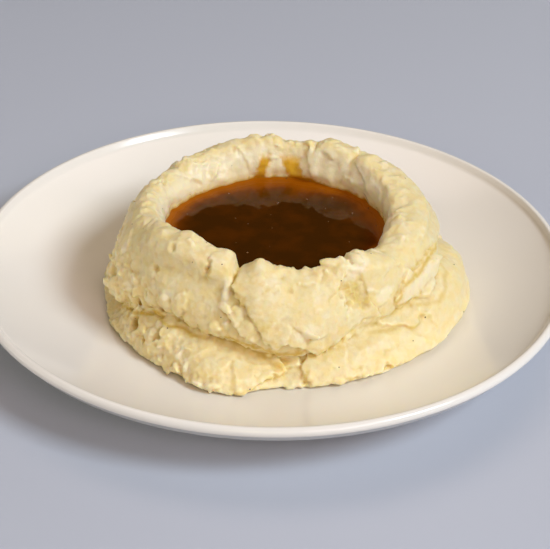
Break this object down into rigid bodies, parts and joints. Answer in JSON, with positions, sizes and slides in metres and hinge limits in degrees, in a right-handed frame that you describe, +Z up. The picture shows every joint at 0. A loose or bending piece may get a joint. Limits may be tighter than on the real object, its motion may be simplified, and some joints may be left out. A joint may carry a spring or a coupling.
{
  "type": "mashed potato side with gravy on a plate",
  "caption": "Ring of mashed potato with a hollow full of brown gravy, served on a round rimless ceramic plate.",
  "frame": {"origin": "centre of the plate's foot, on the table", "axes": "+Z up, -Y towards the side with the lowest part of the potato's crest, +X to the right seen from there"},
  "size_m": [0.2288, 0.2288, 0.0526],
  "materials": {
    "glazed_ceramic": "warm off-white glossy glaze",
    "mashed_potato": "soft, moist, pale cream-yellow",
    "brown_gravy": "very dark brown, wet and glossy"
  },
  "bodies": {
    "root": {"plate": "glazed_ceramic", "mash": "mashed_potato", "gravy": "brown_gravy"}
  },
  "joints": []
}
